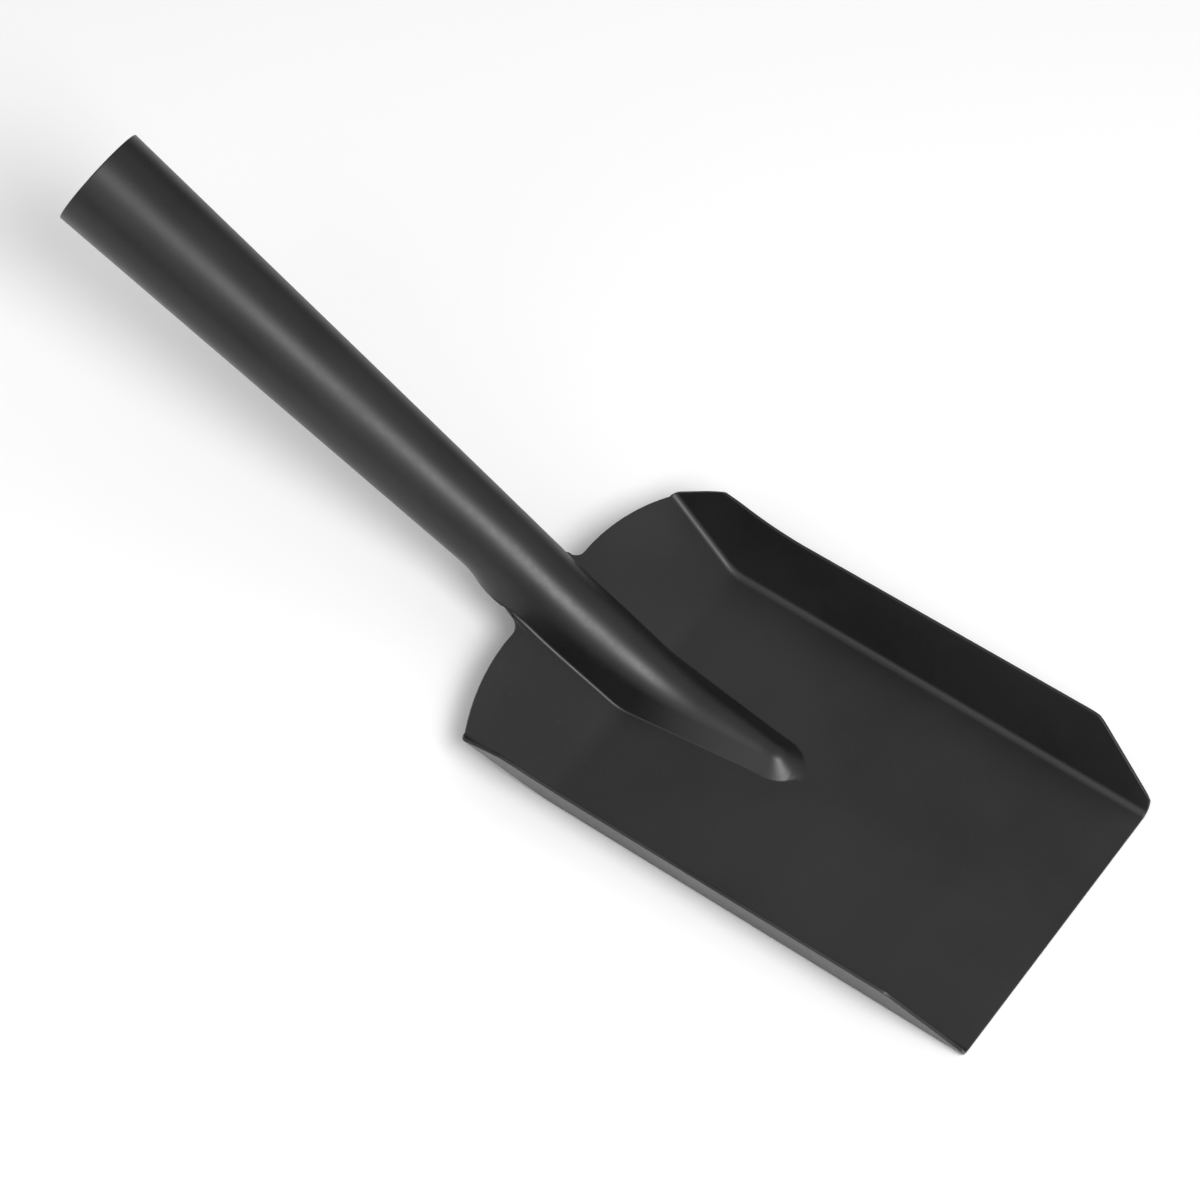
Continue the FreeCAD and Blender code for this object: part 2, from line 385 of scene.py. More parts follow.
        tilt = self.section_tilt(x)[:, None]
        return np.stack([
            x[:, None] + rise * np.sin(tilt),
            distance * np.sin(angle),
            axis_z[:, None] + rise * np.cos(tilt),
        ], axis=-1)

    def notch_shares(self, steps: Sequence[int]) -> np.ndarray:
        """Where the pressed section's columns lie at the notch.

        Args:
            steps: as for rib_section.

        Returns:
            Each column's share of the angle to the section's edge.
        """
        start = np.array([self.notch_x])
        section = self.rib_section(start, steps)[0]
        level = (section[:, 2] - self.base.height(start)) / np.cos(self.section_tilt(start))
        angle = np.arctan2(section[:, 1], level - self.rib_lines(start)[0])
        return angle / angle[-1]

    def middle_strip(self, x: np.ndarray, steps: Sequence[int]) -> np.ndarray:
        """Half of the strip that runs from the mouth, over the rib and neck, to the handle's end.

        Args:
            x: X of each row.
            steps: as for rib_section.

        Returns:
            Array of rows by columns by 3, from the middle outwards.
        """
        rolled_until = self.notch_x - self.ease.rolled_behind_notch
        pressed_from = self.notch_x + self.ease.pressed_past_notch
        pressed = self.rib_section(x, steps)
        rolled = self.rolled_section(x, steps)
        blend = smoothstep(x, rolled_until, pressed_from)[:, None, None]
        return rolled * (1 - blend) + pressed * blend

    def settle_rib(self, points: np.ndarray) -> None:
        """Slide the rib a little to its left, as it sits in the pressing; the sheet beside it follows.

        Args:
            points: the points to move, in place, with X, Y and Z along the last axis.
        """
        x, y = points[..., 0], points[..., 1]
        web, ease = self.sizes.web_half_width, self.ease
        start, full = self.crease_x - ease.shift_behind_crease, self.crease_x + ease.shift_past_crease
        near = 1 - smoothstep(np.abs(y), web, ease.shift_reach * web)
        points[..., 1] = y + self.rib.side_shift * smoothstep(x, start, full) * near

    # ---- side walls and rear edge
    def wall_top(self, x: np.ndarray) -> np.ndarray:
        """Top edge of a side wall: swept up behind the waist, and clipped in front.

        Args:
            x: X of each point of the edge.

        Returns:
            Height of the edge at each X.
        """
        size = self.sizes
        waist_x = self.crease_x + size.waist_from_crease
        corner_x = self.crease_x - size.rear_corner_from_crease
        front_x = self.mouth_x - size.chamfer_length
        sweep = np.clip((waist_x - x) / (waist_x - corner_x), 0.0, self.SWEEP_LIMIT)
        rear = size.wall_waist + (size.wall_rear - size.wall_waist) * sweep ** 2
        straight = size.wall_waist + (size.wall_front - size.wall_waist) * (x - waist_x) / (front_x - waist_x)
        fall = (size.wall_front - size.chamfer_foot) * (x - front_x) / size.chamfer_length
        return np.where(x < waist_x, rear, np.where(x > front_x, size.wall_front - fall, straight))

    def wall_foot(self, x: np.ndarray) -> np.ndarray:
        """Y of the sharp line where a side wall would meet the floor or rear slope."""
        half = self.sizes.floor_width / 2 - self.sizes.sheet / 2 / math.cos(self.sizes.wall_flare)
        return half + self.base.height(x) * math.tan(self.sizes.wall_flare)

    def bend_start(self, x: np.ndarray) -> np.ndarray:
        """Y at which the floor starts to turn up into a side wall."""
        return self.wall_foot(x) - self.bend_radius * math.tan(self.bend_angle / 2)

    def rear_edge(self, y: np.ndarray) -> np.ndarray:
        """Rear edge of the pan between the web and the side bend: a notch, then an arch.

        Args:
            y: Y of each point of the edge.

        Returns:
            X of the edge at each Y.
        """
        size = self.sizes
        notch_y = size.web_half_width + size.notch_radius
        straight_y = size.web_half_width + 2 * size.notch_radius
        into_notch = np.sqrt(np.maximum(size.notch_radius ** 2 - (notch_y - y) ** 2, 0.0))
        notch = self.notch_x + into_notch
        middle = self.crease_x - size.rear_edge_middle
        side_y = size.floor_width / 2 + size.rear_edge_overrun
        chord = np.array([size.rear_edge_middle - size.rear_edge_side, side_y - straight_y])
        length = math.hypot(*chord)
        drop = math.sqrt(size.rear_edge_radius ** 2 - length ** 2 / 4)
        centre_back = (size.rear_edge_middle + size.rear_edge_side) / 2 - drop * chord[1] / length
        centre_y = (straight_y + side_y) / 2 - drop * chord[0] / length
        arc = centre_back + np.sqrt(size.rear_edge_radius ** 2 - (y - centre_y) ** 2)
        return np.where(y < notch_y, notch, np.where(y < straight_y, middle, self.crease_x - arc))

    def rear_foot(self) -> float:
        """X at which the rear edge reaches the side bend.

        Returns:
            That X, found by going to and fro between the edge and the bend's line.
        """
        x = self.crease_x - self.sizes.rear_edge_side
        for _ in range(self.SETTLE_ROUNDS):
            x = float(self.rear_edge(self.bend_start(np.array(x))))
        return x

    def wall_rear_edge(self, rise: np.ndarray) -> np.ndarray:
        """Slanting rear edge of a wall.

        Args:
            rise: height above the rear slope of each point of the edge.

        Returns:
            X of each point.
        """
        size = self.sizes
        foot = self.rear_foot()
        corner = self.crease_x - size.rear_corner_from_crease
        lean = (corner - foot) / (size.wall_rear - float(self.base.height(np.array(foot))))
        return foot + rise * lean / (1 + lean * math.tan(size.rear_slope))

    def side_strip(self, start_x: float, pull: np.ndarray, ahead: np.ndarray) -> np.ndarray:
        """Half of the pan beside the middle strip: floor, side bend and wall.

        Args:
            start_x: X of the first row that runs straight across.
            pull: for each row behind it, 1 at the rear edge falling towards 0.
            ahead: X of each row from start_x to the mouth.

        Returns:
            Array of rows by columns by 3; its first column lies on the middle strip's edge.
        """
        rows = np.concatenate([pull, np.zeros(len(ahead))])[:, None]
        straight_x = np.concatenate([np.full(len(pull), start_x), ahead])[:, None]

        def spread(rear_x: np.ndarray) -> np.ndarray:
            """X of the points of every row, where the last row behind lies at `rear_x`."""
            return straight_x + rows * (rear_x[None, :] - start_x)

        parts = [self.side_floor(spread), self.side_bend(spread), self.side_wall(spread)]
        return np.concatenate(parts, axis=1)

    def side_floor(self, spread: Callable[[np.ndarray], np.ndarray]) -> np.ndarray:
        """Floor and rear slope between the middle strip and the side bend.

        Args:
            spread: gives every row's X from the X of the rear edge.

        Returns:
            Array of rows by columns by 3.
        """
        size, rim = self.sizes, self.RIM_SHARE
        round_y = size.notch_radius * (1 - np.cos(np.linspace(0, math.pi / 2, self.NOTCH_POINTS)))
        inner = size.web_half_width + round_y
        flat = spaced((0.0, rim, self.FLOOR_STEPS[0]), (rim, 1.0, self.FLOOR_STEPS[1]))[1:]
        rear_x = np.full(len(flat), self.rear_foot())
        for _ in range(self.SETTLE_ROUNDS):
            rear_y = inner[-1] + flat * (self.bend_start(rear_x) - inner[-1])
            rear_x = self.rear_edge(rear_y)
        x = spread(np.concatenate([self.rear_edge(inner), rear_x]))
        y_inner = np.broadcast_to(inner, (len(x), len(inner)))
        span = self.bend_start(x[:, len(inner):]) - inner[-1]
        y = np.concatenate([y_inner, inner[-1] + flat[None, :] * span], axis=1)
        return np.stack([x, y, self.base.height(x)], axis=-1)

    def side_bend(self, spread: Callable[[np.ndarray], np.ndarray]) -> np.ndarray:
        """Bend between the floor and the wall.

        Args:
            spread: gives every row's X from the X of the rear edge.

        Returns:
            Array of rows by columns by 3.
        """
        angle = np.linspace(0, self.bend_angle, self.BEND_STEPS + 1)[1:]
        rise = self.bend_radius * (1 - np.cos(angle))
        x = spread(self.wall_rear_edge(rise))
        y = self.bend_start(x) + self.bend_radius * np.sin(angle)[None, :]
        return np.stack([x, y, self.base.height(x) + rise[None, :]], axis=-1)

    def side_wall(self, spread: Callable[[np.ndarray], np.ndarray]) -> np.ndarray:
        """Wall above the bend.

        Args:
            spread: gives every row's X from the X of the rear edge.

        Returns:
            Array of rows by columns by 3.
        """
        size, rim = self.sizes, self.RIM_SHARE
        foot_rise = self.bend_radius * (1 - np.cos(self.bend_angle))
        share = spaced((0.0, rim, self.WALL_STEPS[0]), (rim, 1.0, self.WALL_STEPS[1]))[1:]
        corner_x = self.crease_x - size.rear_corner_from_crease
        corner_rise = size.wall_rear - float(self.base.height(np.array(corner_x)))
        x = spread(self.wall_rear_edge(foot_rise + share * (corner_rise - foot_rise)))
        top_x = x[:, -1]
        top_rise = self.wall_top(top_x) - self.base.height(top_x)
        height = foot_rise + share[None, :] * (top_rise - foot_rise)[:, None]
        x, height = self.round_corners(x, height)
        y = self.wall_foot(x) + height * math.tan(size.wall_flare)
        return np.stack([x, y, self.base.height(x) + height], axis=-1)

    def round_corners(self, x: np.ndarray, rise: np.ndarray) -> tuple[np.ndarray, np.ndarray]:
        """Round the rear corner, the clipped corner and the mouth's corner of a wall.

        Args:
            x: X of the wall's points.
            rise: height of each above the floor or rear slope.

        Returns:
            The points' new X and rise.
        """
        size = self.sizes
        rear_x = self.crease_x - size.rear_corner_from_crease
        front_x = self.mouth_x - size.chamfer_length
        z = self.base.height(x) + rise
        for corner in (
            CornerRound(rear_x, size.wall_rear, reach=9 * MM, pull=0.66 * MM, toward=(0.25, -0.97)),
            CornerRound(front_x, size.wall_front, reach=4 * MM, pull=0.35 * MM, toward=(-0.3, -0.95)),
            CornerRound(self.mouth_x, size.chamfer_foot, reach=4 * MM, pull=0.5 * MM, toward=(-0.8, -0.6)),
        ):
            x, z = corner.draw_in(x, z)
        return x, z - self.base.height(x)


class Region(Enum):
    """The two regions of the sheet, by the name of their CAD node."""

    PAN = "pan"
    HANDLE = "handle"


@dataclass
class FormedSheet:
    """The whole sheet as one smooth skin with thickness and eased edges, cut in two at the neck.

    The rows run across the shovel, from the handle's end to the mouth. They lie closer together over
    `fine_reach` on each side of a corner, and round the rib's tip. `arc_middle` is how far the middle of
    a rounded corner lies inside the sharp one, as a share of its radius.
    """

    shape: SheetShape
    edge_ease: float = 0.28 * MM
    arc_middle: float = 0.29
    steps: tuple[int, int, int, int] = (15, 12, 5, 9)
    handle_rows: int = 74
    neck_rows: int = 22
    slope_rows: int = 22
    ahead_rows: tuple[int, ...] = (42, 26, 30, 6, 16, 4)
    first_pull: float = 0.98
    end_step: float = 0.6 * MM
    straight_from_crease: float = 10.0 * MM
    fine_reach: float = 2.0 * MM
    tip_reach: float = 9.0 * MM
    joined_columns: int = 15
    inner_wear: float = 0.6
    points: np.ndarray = field(init=False)
    quads: np.ndarray = field(init=False)
    quad_rows: np.ndarray = field(init=False)
    neck_row: int = field(init=False)
    neck_points: list[int] = field(init=False)
    vertices: np.ndarray = field(init=False)
    vertex_normals: np.ndarray = field(init=False)
    wear: np.ndarray = field(init=False)
    faces: list[tuple[tuple[int, ...], int]] = field(init=False)
    ring: dict[int, list[int]] = field(init=False)

    def __post_init__(self) -> None:
        """Lay out the skin's rows and columns and give it thickness."""
        behind, pull, ahead = self._rows()
        middle, right, left = self._strips(behind, pull, ahead)
        self._join(middle, right, left, len(behind))
        self._thicken()

    def _rows(self) -> tuple[np.ndarray, np.ndarray, np.ndarray]:
        """Places of the rows.

        Returns:
            X of each row of the handle and neck; for each row between the rear edge and the first
            straight row, 1 at the rear edge falling towards 0; and X of each row from there to the mouth.
        """
        shape, fine = self.shape, self.fine_reach
        second_x = shape.end_x + self.end_step * math.cos(shape.sizes.handle_pitch)
        handle = spaced((shape.end_x, second_x, 1), (second_x, shape.neck_x, self.handle_rows))
        neck = spaced((shape.neck_x, shape.notch_x, self.neck_rows))[1:-1]
        self.neck_row = len(handle) - 1
        pull = spaced((1.0, self.first_pull, 1), (self.first_pull, 0.0, self.slope_rows))[:-1]
        tip, mouth = shape.tip_x, shape.mouth_x
        corner = mouth - shape.sizes.chamfer_length
        stops = (shape.crease_x - self.straight_from_crease, tip - fine, tip + self.tip_reach,
                 corner - fine, corner + fine, mouth - fine, mouth)
        ahead = spaced(*zip(stops, stops[1:], self.ahead_rows))
        return np.concatenate([handle, neck]), pull, ahead

    def _strips(self, behind: np.ndarray, pull: np.ndarray,
                ahead: np.ndarray) -> tuple[np.ndarray, np.ndarray, np.ndarray]:
        """Points of the middle surface, in three strips.

        Args:
            behind: X of each row of the handle and neck.
            pull: shares of the rows on the rear slope, as _rows gives them.
            ahead: X of each row in front of them.

        Returns:
            The middle strip in every row, and the pan's right and left sides in the rows of the pan,
            all from right to left.
        """
        shape, start_x = self.shape, ahead[0]
        slope_x = start_x + pull * (shape.notch_x - start_x)
        middle = shape.middle_strip(np.concatenate([behind, slope_x, ahead]), self.steps)
        left = shape.side_strip(start_x, pull, ahead)
        lift = middle[len(behind):, -1] - left[:, 0]
        fade = np.linspace(1, 0, self.joined_columns)[None, :, None] ** 2
        left[:, :self.joined_columns] += lift[:, None, :] * fade
        left = left[:, 1:]
        mirror = np.array([1.0, -1.0, 1.0])
        middle = np.concatenate([middle[:, :0:-1] * mirror, middle], axis=1)
        right = left[:, ::-1] * mirror
        for strip in (middle[len(behind):], right, left):
            shape.settle_rib(strip)
        return middle, right, left

    def _join(self, middle: np.ndarray, right: np.ndarray, left: np.ndarray, first_pan_row: int) -> None:
        """Number the strips' points and join them with quads.

        Args:
            middle: the middle strip, in every row.
            right: the pan's right side, in the rows of the pan.
            left: the pan's left side, in the rows of the pan.
            first_pan_row: number of the first row that has sides.
        """
        points, index = [], {}
        for row, across in enumerate(middle):
            columns, first = list(across), 0
            if row >= first_pan_row:
                pan_row = row - first_pan_row
                columns = list(right[pan_row]) + columns + list(left[pan_row])
                first = -right.shape[1]
            for step, point in enumerate(columns):
                index[row, first + step] = len(points)
                points.append(point)
        quads, quad_rows = [], []
        wide = middle.shape[1]
        for row in range(len(middle) - 1):
            for column in range(-right.shape[1], wide + left.shape[1]):
                keys = ((row, column), (row + 1, column), (row + 1, column + 1), (row, column + 1))
                if all(key in index for key in keys):
                    quads.append([index[key] for key in keys])
                    quad_rows.append(row)
        self.points = np.array(points)
        self.quads = np.array(quads)
        self.quad_rows = np.array(quad_rows)
        self.neck_points = [index[self.neck_row, column] for column in range(wide)]

    def _normals(self, points: np.ndarray, quads: np.ndarray) -> np.ndarray:
        """Smooth normals of a set of quads.

        Args:
            points: the points' places.
            quads: four point numbers for each quad.

        Returns:
            One normal for each point.
        """
        corner = points[quads]
        face = np.cross(corner[:, 2] - corner[:, 0], corner[:, 3] - corner[:, 1])
        total = np.zeros_like(points)
        for place in range(4):
            np.add.at(total, quads[:, place], face)
        return unit(total)

    def _rim(self) -> list[tuple[int, int, int]]:
        """Find the sheet's cut edge.

        Returns:
            Start, end and row of each directed edge that only one quad has.
        """
        used = {}
        for number, quad in enumerate(self.quads):
            for place in range(4):
                used[int(quad[place]), int(quad[(place + 1) % 4])] = number
        return [(a, b, int(self.quad_rows[n])) for (a, b), n in used.items() if (b, a) not in used]

    def _thicken(self) -> None:
        """Give the skin two faces and an eased cut edge."""
        half, ease = self.shape.sizes.sheet / 2, self.edge_ease
        corner = self.arc_middle * ease
        normals = self._normals(self.points, self.quads)
        rim = self._rim()
        after = {a: b for a, b, _ in rim}
        before = {b: a for a, b, _ in rim}
        rounding = [(-ease, half), (-corner, half - corner), (0.0, half - ease)]
        rounding += [(out, -up) for out, up in reversed(rounding)]

        count = len(self.points)
        upper = self.points + normals * half
        lower = self.points - normals * half
        extra, ring = [], {}
        for vertex in after:
            run = self.points[after[vertex]] - self.points[before[vertex]]
            outward = np.cross(run, normals[vertex])
            outward = outward / np.linalg.norm(outward)
            places = [self.points[vertex] + outward * out + normals[vertex] * up for out, up in rounding]
            upper[vertex], lower[vertex] = places[0], places[-1]
            first = 2 * count + len(extra)
            extra.extend(places[1:-1])
            ring[vertex] = [vertex, *range(first, 2 * count + len(extra)), count + vertex]
        self.vertices = np.concatenate([upper, lower, np.array(extra)])
        self.wear = np.zeros(len(self.vertices))
        self.wear[2 * count:] = 1.0
        self.wear[list(after)] = self.inner_wear
        self.wear[[count + vertex for vertex in after]] = self.inner_wear

        faces = [(tuple(quad), row) for quad, row in zip(self.quads.tolist(), self.quad_rows)]
        faces += [(tuple(count + v for v in reversed(quad)), row)
                  for quad, row in zip(self.quads.tolist(), self.quad_rows)]
        for a, b, row in rim:
            for step in range(len(rounding) - 1):
                faces.append(((ring[b][step], ring[a][step], ring[a][step + 1], ring[b][step + 1]), row))
        self.faces = faces
        self.ring = ring
        self.vertex_normals = self._normals(self.vertices, np.array([face for face, _ in faces]))

    def _neck_cap(self, region: Region) -> list[tuple[int, ...]]:
        """Faces that close a region where it is cut at the neck.

        Args:
            region: the region to close.

        Returns:
            The point numbers of each face, facing out of the region.
        """
        line, count = self.neck_points, len(self.points)
        cap = [(a, b, count + b, count + a) for a, b in zip(line[:-1], line[1:])]
        cap.append(tuple(reversed(self.ring[line[0]])))
        cap.append(tuple(self.ring[line[-1]]))
        return cap if region is Region.PAN else [tuple(reversed(face)) for face in cap]

    def piece(self, name: str, region: Region) -> bpy.types.Object:
        """Make one region of the sheet as a closed piece.

        Args:
            name: name of the new object.
            region: the handle, or the pan with its neck.

        Returns:
            The object, linked to the scene, with its smooth shading carried across the cut.
        """
        behind_neck = region is Region.HANDLE
        skin = [face for face, row in self.faces if (row < self.neck_row) == behind_neck]
        cap = self._neck_cap(region)
        used = sorted({vertex for face in skin + cap for vertex in face})
        place = {vertex: number for number, vertex in enumerate(used)}
        mesh = bpy.data.meshes.new(name)
        mesh.from_pydata(self.vertices[used].tolist(), [],
                         [[place[vertex] for vertex in face] for face in skin + cap])
        mesh.polygons.foreach_set("use_smooth", np.ones(len(mesh.polygons), bool))
        loop_normals = [self.vertex_normals[vertex] for face in skin for vertex in face]
        for face in mesh.polygons[len(skin):]:
            loop_normals += [np.array(face.normal)] * len(face.vertices)
        mesh.normals_split_custom_set([tuple(normal) for normal in loop_normals])
        edge = mesh.attributes.new("cut_edge", "FLOAT", "POINT")
        edge.data.foreach_set("value", self.wear[used].astype(np.float32))
        made = bpy.data.objects.new(name, mesh)
        bpy.context.scene.collection.objects.link(made)
        return made


# ------------------------------------------------------------------ node trees written as expressions
class Channel:
    """A number socket that takes part in Python arithmetic, adding Math nodes as it goes."""

    def __init__(self, nodes: "NodeBench", socket: bpy.types.NodeSocket) -> None:
        """Wrap `socket`, which belongs to the tree of `nodes`."""
        self.nodes = nodes
        self.socket = socket

    def _math(self, operation: str, *values: Any) -> "Channel":
        """Channel of a Math node on the given values."""
        return self.nodes.math(operation, *values)

    def __add__(self, other: Any) -> "Channel":
        """Sum."""
        return self._math("ADD", self, other)

    __radd__ = __add__

    def __sub__(self, other: Any) -> "Channel":
        """Difference."""
        return self._math("SUBTRACT", self, other)

    def __rsub__(self, other: Any) -> "Channel":
        """Difference, the other way round."""
        return self._math("SUBTRACT", other, self)

    def __mul__(self, other: Any) -> "Channel":
        """Product."""
        return self._math("MULTIPLY", self, other)

    __rmul__ = __mul__

    def __truediv__(self, other: Any) -> "Channel":
        """Quotient."""
        return self._math("DIVIDE", self, other)

    def __rtruediv__(self, other: Any) -> "Channel":
        """Quotient, the other way round."""
        return self._math("DIVIDE", other, self)

    def clamped(self) -> "Channel":
        """Held between 0 and 1."""
        return self.between(0.0, 1.0)

    def between(self, low: float, high: float) -> "Channel":
        """Held between two numbers."""
        return self._math("MINIMUM", self._math("MAXIMUM", self, low), high)

    def band(self, low: float, high: float) -> "Channel":
        """Ease from 0 at `low` to 1 at `high`."""
        share = ((self - low) / (high - low)).clamped()
        return share * share * (3.0 - 2.0 * share)


class NodeBench:
    """Adds nodes to a tree, and wraps what comes out of them."""

    def __init__(self, tree: bpy.types.NodeTree) -> None:
        """Work on `tree`."""
        self.tree = tree

    def add(self, kind: str, settings: dict[str, Any] | None = None,
            values: dict[Any, Any] | None = None) -> bpy.types.Node:
        """Add any node.

        Args:
            kind: the node's type name.
            settings: the node's properties, set before its sockets.
            values: for each input name or number, a plain value, a socket or a Channel.

        Returns:
            The new node.
        """
        node = self.tree.nodes.new(kind)
        for name, value in (settings or {}).items():
            setattr(node, name, value)
        for key, value in (values or {}).items():
            self.feed(node.inputs[key], value)
        return node

    def feed(self, socket: bpy.types.NodeSocket, value: Any) -> None:
        """Set or link one input socket.

        Args:
            socket: the input.
            value: a plain value, a socket or a Channel.
        """
        if isinstance(value, Channel):
            self.tree.links.new(value.socket, socket)
        elif isinstance(value, bpy.types.NodeSocket):
            self.tree.links.new(value, socket)
        else:
            socket.default_value = value

    def math(self, operation: str, *values: Any) -> Channel:
        """Channel of a Math node."""
        node = self.add("ShaderNodeMath", {"operation": operation}, dict(enumerate(values)))
        return Channel(self, node.outputs[0])

    def noise(self, scale: float, vector: Any = None, detail: float = 2.0, rough: float = 0.5) -> Channel:
        """Noise from about 0 to 1.

        Args:
            scale: features to the metre.
            vector: socket with the coordinates; Object coordinates if it is left out.
            detail: number of finer layers.
            rough: how strong the finer layers are.

        Returns:
            The noise.
        """
        place = vector if vector is not None else self.place()
        node = self.add("ShaderNodeTexNoise", {"noise_dimensions": "3D"},
                        {"Vector": place, "Scale": scale, "Detail": detail, "Roughness": rough})
        return Channel(self, node.outputs["Fac"])

    def place(self) -> bpy.types.NodeSocket:
        """Object coordinates."""
        return self.add("ShaderNodeTexCoord").outputs["Object"]

    def axes(self) -> tuple[Channel, Channel, Channel]:
        """Object X, Y and Z as separate channels."""
        parts = self.add("ShaderNodeSeparateXYZ", None, {0: self.place()}).outputs
        return Channel(self, parts[0]), Channel(self, parts[1]), Channel(self, parts[2])

    def stretched(self, scale: tuple[float, float, float]) -> bpy.types.NodeSocket:
        """Object coordinates stretched along X, Y and Z."""
        stretch = {"Vector": self.place(), "Scale": scale}
        return self.add("ShaderNodeMapping", {"vector_type": "POINT"}, stretch).outputs[0]

    def attribute(self, name: str) -> Channel:
        """A mesh's own number attribute."""
        node = self.add("ShaderNodeAttribute", {"attribute_type": "GEOMETRY", "attribute_name": name})
        return Channel(self, node.outputs["Fac"])

    def blend(self, share: Any, first: Any, second: Any) -> bpy.types.NodeSocket:
        """Colour mixed from `first` to `second`."""
        colours = {0: share, 6: first, 7: second}
        return self.add("ShaderNodeMix", {"data_type": "RGBA", "blend_type": "MIX"}, colours).outputs[2]

    def bump(self, height: Channel, distance: float, under: Any = None) -> bpy.types.NodeSocket:
        """Normal bumped by a height.

        Args:
            height: the height, from about 0 to 1.
            distance: depth of a whole step of height, in metres.
            under: socket with the normal that the bumps lie on, if it isn't the surface's own.

        Returns:
            Socket with the normal.
        """
        values = {"Height": height, "Distance": distance, "Strength": 1.0}
        if under is not None:
            values["Normal"] = under
        return self.add("ShaderNodeBump", None, values).outputs["Normal"]


def grey(value: float, warmth: float = 0.0) -> tuple[float, float, float, float]:
    """Grey colour, with a little more red than blue where `warmth` is above 0."""
    return (value * (1 + warmth), value, value * (1 - warmth), 1.0)


# ------------------------------------------------------------------ finishes
@dataclass(frozen=True)
class Finish:
    """Base of every finish: a named material with one surface shader."""

    name: str

    def surface(self, bench: NodeBench) -> dict[str, Any]:
        """Sockets of the surface shader; each finish has its own."""
        raise NotImplementedError

    def material(self) -> bpy.types.Material:
        """Build the material.

        Returns:
            The material, with its node tree complete.
        """
        made = bpy.data.materials.new(self.name)
        made.use_nodes = True
        made.node_tree.nodes.clear()
        bench = NodeBench(made.node_tree)
        shader = bench.add("ShaderNodeBsdfPrincipled", None, self.surface(bench))
        bench.add("ShaderNodeOutputMaterial", None, {"Surface": shader.outputs[0]})
        return made


@dataclass(frozen=True)
class PowderCoat(Finish):
    """Satin black powder coat: fine orange peel, slow waves of the thin steel, thin spots at the edges.

    Scales are features to the metre, and depths are metres. The tool marks are short ripples across the
    crest of the neck, where the rolling tool pinched it.
    """

    neck: tuple[float, float, float] = (0.0, 0.0, 0.0)
    tone: float = 0.0052
    gloss: float = 0.42
    peel_depth: float = 0.010 * MM
    wave_depth: float = 0.44 * MM
    cloud_scale: float = 14.0
    peel_scale: float = 420.0
    grain_scale: float = 1500.0
    speck_scale: float = 950.0
    wear_scale: float = 90.0
    wave_scale: float = 11.0
    marks_scale: tuple[float, float, float] = (620.0, 70.0, 300.0)
    marks_past_neck: float = 15.0 * MM
    marks_reach: float = 11.0 * MM
    marks_half_width: float = 7.0 * MM
    marks_gone_below_neck: float = 12.0 * MM
    marks_full_below_neck: float = 4.0 * MM

    def tool_marks(self, bench: NodeBench) -> Channel:
        """Height of the tool marks.

        Args:
            bench: adds the nodes.

        Returns:
            The ripples, 0 away from the neck's crest.
        """
        along, across, up = bench.axes()
        from_middle = along - (self.neck[0] + self.marks_past_neck)
        near = (1.0 - bench.math("ABSOLUTE", from_middle) / self.marks_reach).clamped()
        crest = (1.0 - bench.math("ABSOLUTE", across) / self.marks_half_width).clamped()
        upper = up.band(self.neck[2] - self.marks_gone_below_neck, self.neck[2] - self.marks_full_below_neck)
        ripple = bench.noise(1.0, bench.stretched(self.marks_scale), detail=1.0)
        return ripple * near.band(0.0, 0.8) * crest.band(0.0, 0.9) * upper

    def colour(self, bench: NodeBench, cloud: Channel, wear: Channel) -> bpy.types.NodeSocket:
        """Colour of the paint, with pale specks of dust and wear on the cut edges.

        Args:
            bench: adds the nodes.
            cloud: slow variation of the paint.
            wear: where the paint is thin, from 0 to 1.

        Returns:
            Socket with the colour.
        """
        specks = bench.noise(self.speck_scale, detail=0.0).band(0.71, 0.78)
        shade = bench.blend(cloud.band(0.3, 0.7), grey(self.tone * 0.5), grey(self.tone * 1.6, 0.01))
        dusty = bench.blend(specks * 0.35, shade, grey(self.tone * 2.6))
        return bench.blend(wear * 0.45, dusty, grey(self.tone * 2.2, 0.02))

    def surface(self, bench: NodeBench) -> dict[str, Any]:
        """Paint over thin sheet steel.

        Args:
            bench: adds the nodes.

        Returns:
            Values and sockets for the surface shader.
        """
        cloud = bench.noise(self.cloud_scale, detail=3.0, rough=0.55)
        fine = bench.noise(self.peel_scale, detail=2.0, rough=0.6)
        grain = bench.noise(self.grain_scale, detail=2.0, rough=0.6)
        patches = bench.noise(self.wear_scale, detail=3.0).band(0.42, 0.72)
        wear = (bench.attribute("cut_edge") * patches).clamped()
        roughness = self.gloss + 0.22 * (cloud - 0.5) + 0.10 * (fine - 0.5) + 0.05 * wear
        slow = bench.noise(self.wave_scale, bench.stretched((1.0, 1.6, 1.0)), detail=1.0, rough=0.4)
        waves = bench.bump(slow + 0.3 * self.tool_marks(bench), self.wave_depth)
        peel = bench.bump(fine + 0.35 * grain, self.peel_depth, waves)
        return {"Base Color": self.colour(bench, cloud, wear), "Roughness": roughness, "Normal": peel,
                "IOR": 1.5, "Specular IOR Level": 0.5}


